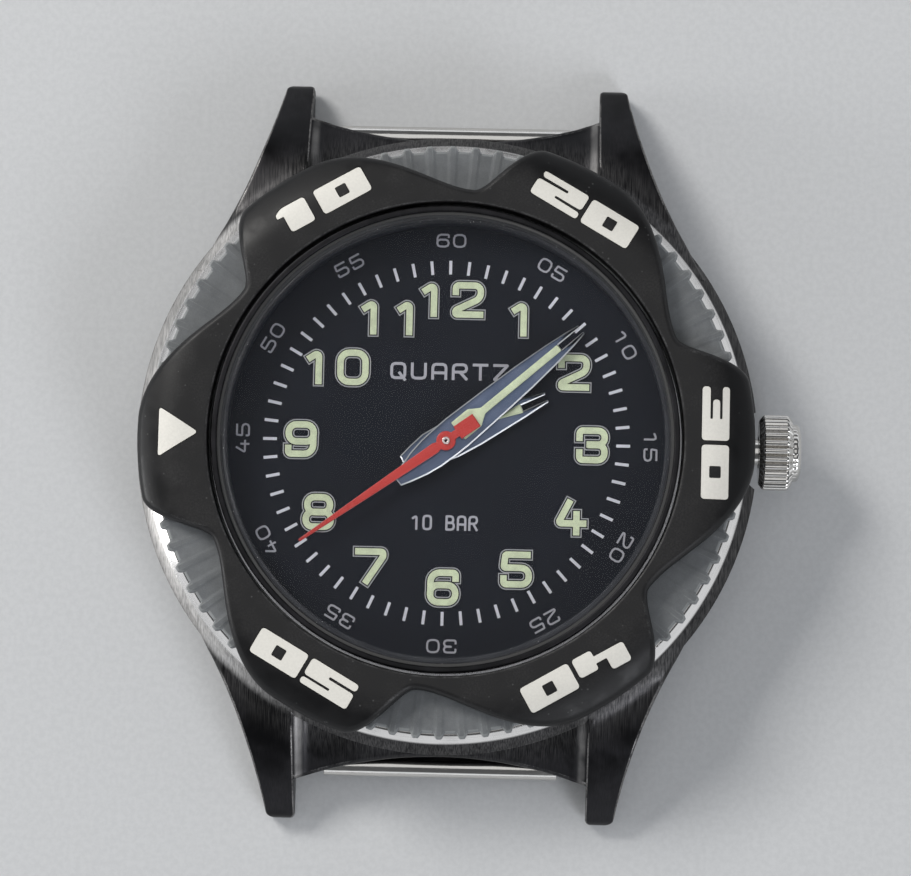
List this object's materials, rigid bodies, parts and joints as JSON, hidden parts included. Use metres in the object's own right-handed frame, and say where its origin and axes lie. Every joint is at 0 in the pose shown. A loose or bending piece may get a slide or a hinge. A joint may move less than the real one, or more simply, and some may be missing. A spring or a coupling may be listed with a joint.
{
  "type": "sports watch head",
  "caption": "Round analogue sports watch head with a lobed turning bezel, luminous numerals, pull-out crown, quartz movement and sprung strap bars between lugs.",
  "frame": {"origin": "centre of the case back's outer face", "axes": "+Z out of the dial through the crystal, +Y to 12 o'clock, +X to 3 o'clock and the crown"},
  "size_m": [0.0454, 0.0512, 0.0102],
  "materials": {
    "case_black": "black hard coat over brushed steel, worn bright along its edges",
    "back_steel": "turned and brushed",
    "polished_steel": "polished",
    "spring_steel": "plain",
    "bezel_black": "satin black",
    "bezel_grip": "frosted grey",
    "inlay_white": "satin enamel",
    "crystal_glass": "polished mineral glass",
    "gasket_clear": "natural nylon",
    "rubber_black": "matt",
    "dial_black": "matt blue black",
    "print_white": "pad printed ink",
    "print_grey": "pad printed ink",
    "numeral_silver": "metallic ink",
    "lume": "pale green luminous paint",
    "hand_blue": "bright slate blue",
    "hand_red": "gloss red",
    "brass": "plain",
    "bridge_nickel": "nickel plate",
    "holder_white": "moulded",
    "board_green": "solder mask",
    "chip_black": "epoxy",
    "copper_wire": "enamelled wire"
  },
  "bodies": {
    "case": {"case_middle": "case_black", "case_back": "back_steel", "case_back_gasket": "rubber_black", "crown_tube": "polished_steel", "crystal": "crystal_glass", "crystal_gasket": "gasket_clear", "dial_flange_ring": "dial_black", "dial": "dial_black", "minute_track": "print_white", "minute_numerals": "print_grey", "dial_text": "print_grey", "hour_numeral_frames": "numeral_silver", "hour_numeral_lume": "lume", "movement_holder": "holder_white", "main_plate": "brass", "centre_bush": "brass", "train_bridge": "bridge_nickel", "bridge_screws": "spring_steel", "circuit_board": "board_green", "drive_chip": "chip_black", "quartz_can": "bridge_nickel", "battery": "bridge_nickel", "battery_clamp": "spring_steel", "coil_core": "bridge_nickel", "coil_winding": "copper_wire", "stator": "bridge_nickel", "yoke": "spring_steel", "bezel_click_spring": "spring_steel", "bezel_retaining_wire": "spring_steel", "spring_bar_tube_12": "polished_steel", "spring_bar_tube_6": "polished_steel", "bar_spring_12": "spring_steel", "bar_spring_6": "spring_steel"},
    "bezel": {"bezel_ring": "bezel_grip", "bezel_top": "bezel_black", "bezel_numerals": "inlay_white", "bezel_marker": "inlay_white"},
    "crown_spin": {"sliding_pinion": "spring_steel"},
    "crown": {"winding_stem": "spring_steel", "crown": "polished_steel", "crown_gasket": "rubber_black"},
    "setting_lever": {"setting_lever": "spring_steel"},
    "seconds": {"second_hand": "hand_red", "seconds_wheel": "brass"},
    "minutes": {"minute_hand": "hand_blue", "minute_hand_lume": "lume", "centre_wheel": "brass"},
    "hours": {"hour_hand": "hand_blue", "hour_hand_lume": "lume", "hour_wheel": "brass"},
    "minute_wheel": {"minute_wheel": "brass"},
    "third_wheel": {"third_wheel": "brass"},
    "fifth_wheel": {"fifth_wheel": "brass"},
    "rotor": {"rotor_magnet": "bridge_nickel", "rotor_pinion": "holder_white"},
    "tip_12_right": {"bar_tip_12_right": "polished_steel"},
    "tip_12_left": {"bar_tip_12_left": "polished_steel"},
    "tip_6_right": {"bar_tip_6_right": "polished_steel"},
    "tip_6_left": {"bar_tip_6_left": "polished_steel"}
  },
  "joints": [
    {"name": "bezel_turn", "type": "hinge", "parent": "case", "child": "bezel", "pos_m": [0, 0, 0.0086], "axis": [0, 0, 1], "continuous": true},
    {"name": "seconds_turn", "type": "hinge", "parent": "case", "child": "seconds", "pos_m": [0, 0, 0.006], "axis": [0, 0, 1], "continuous": true},
    {"name": "minutes_turn", "type": "hinge", "parent": "case", "child": "minutes", "pos_m": [0, 0, 0.006], "axis": [0, 0, 1], "continuous": true},
    {"name": "hours_turn", "type": "hinge", "parent": "case", "child": "hours", "pos_m": [0, 0, 0.006], "axis": [0, 0, 1], "continuous": true},
    {"name": "minute_wheel_turn", "type": "hinge", "parent": "case", "child": "minute_wheel", "pos_m": [0.00336, 0, 0.006], "axis": [0, 0, 1], "continuous": true},
    {"name": "third_wheel_turn", "type": "hinge", "parent": "case", "child": "third_wheel", "pos_m": [0.00294, 0.0017, 0.004], "axis": [0, 0, 1], "continuous": true},
    {"name": "fifth_wheel_turn", "type": "hinge", "parent": "case", "child": "fifth_wheel", "pos_m": [-0.00258, -0.00149, 0.004], "axis": [0, 0, 1], "continuous": true},
    {"name": "rotor_turn", "type": "hinge", "parent": "case", "child": "rotor", "pos_m": [-0.00366, -0.00336, 0.004], "axis": [0, 0, 1], "continuous": true},
    {"name": "crown_turn", "type": "hinge", "parent": "case", "child": "crown_spin", "pos_m": [0.0045, 0, 0.0049], "axis": [1, 0, 0], "continuous": true},
    {"name": "crown_pull", "type": "slide", "parent": "crown_spin", "child": "crown", "axis": [1, 0, 0], "range_m": [0, 0.0009]},
    {"name": "setting_lever_turn", "type": "hinge", "parent": "case", "child": "setting_lever", "pos_m": [0.00905, -0.002, 0.0039], "axis": [0, 0, 1], "range_deg": [-26.31, 0.3]},
    {"name": "tip_12_right_press", "type": "slide", "parent": "case", "child": "tip_12_right", "axis": [-1, 0, 0], "range_m": [0, 0.00125], "stiffness_N_per_m": 400, "springref_m": -0.0005, "deforming": ["bar_spring_12"]},
    {"name": "tip_12_left_press", "type": "slide", "parent": "case", "child": "tip_12_left", "axis": [1, 0, 0], "range_m": [0, 0.00125], "stiffness_N_per_m": 400, "springref_m": -0.0005},
    {"name": "tip_6_right_press", "type": "slide", "parent": "case", "child": "tip_6_right", "axis": [-1, 0, 0], "range_m": [0, 0.00125], "stiffness_N_per_m": 400, "springref_m": -0.0005, "deforming": ["bar_spring_6"]},
    {"name": "tip_6_left_press", "type": "slide", "parent": "case", "child": "tip_6_left", "axis": [1, 0, 0], "range_m": [0, 0.00125], "stiffness_N_per_m": 400, "springref_m": -0.0005}
  ],
  "couplings": [
    {"joint": "minutes_turn", "follows": "seconds_turn", "ratio": 0.016667},
    {"joint": "hours_turn", "follows": "seconds_turn", "ratio": 0.0013889},
    {"joint": "minute_wheel_turn", "follows": "seconds_turn", "ratio": -0.0055556},
    {"joint": "third_wheel_turn", "follows": "seconds_turn", "ratio": -0.13333},
    {"joint": "fifth_wheel_turn", "follows": "seconds_turn", "ratio": -6},
    {"joint": "rotor_turn", "follows": "seconds_turn", "ratio": 30},
    {"joint": "setting_lever_turn", "follows": "crown_pull", "rad_per_m": -504.32}
  ]
}
